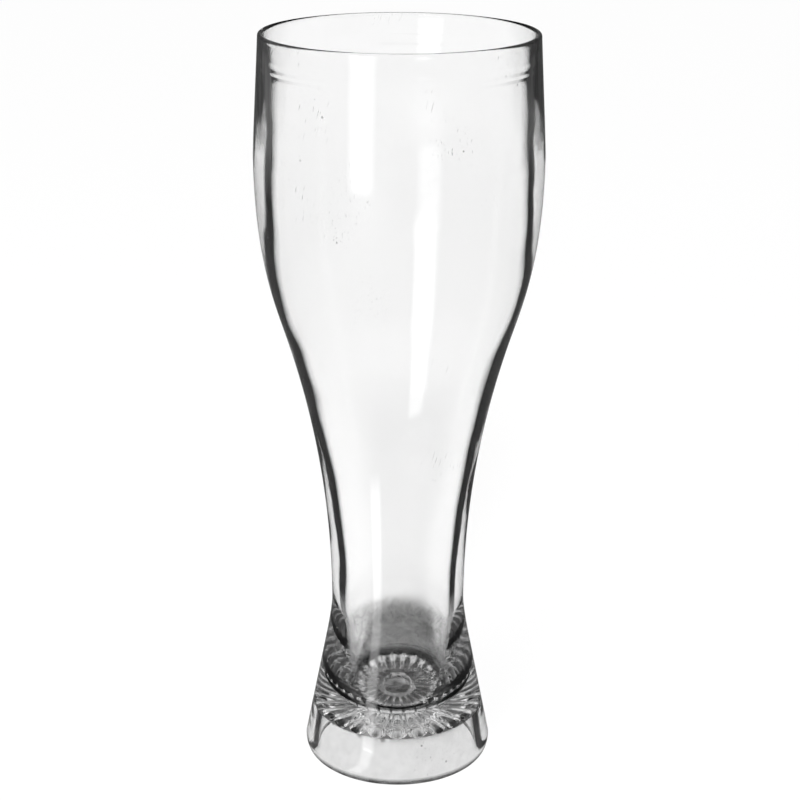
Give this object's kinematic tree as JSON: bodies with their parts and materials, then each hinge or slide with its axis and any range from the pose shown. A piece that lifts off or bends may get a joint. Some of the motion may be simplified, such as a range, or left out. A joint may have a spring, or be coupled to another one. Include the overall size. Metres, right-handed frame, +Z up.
{
  "type": "beer glass",
  "caption": "Tall footed wheat-beer glass in clear plastic: a flared drinking vessel with a fluted sunburst bottom, bonded into a hollow flared foot ring.",
  "frame": {"origin": "centre of the foot at the table", "axes": "+Z up along the axis of the glass, towards the rim; a flute of the sunburst points along -Y"},
  "size_m": [0.0874, 0.0874, 0.235],
  "materials": {
    "clear_plastic": "clear, colourless and polished"
  },
  "bodies": {
    "root": {"vessel": "clear_plastic", "foot": "clear_plastic"}
  },
  "joints": []
}
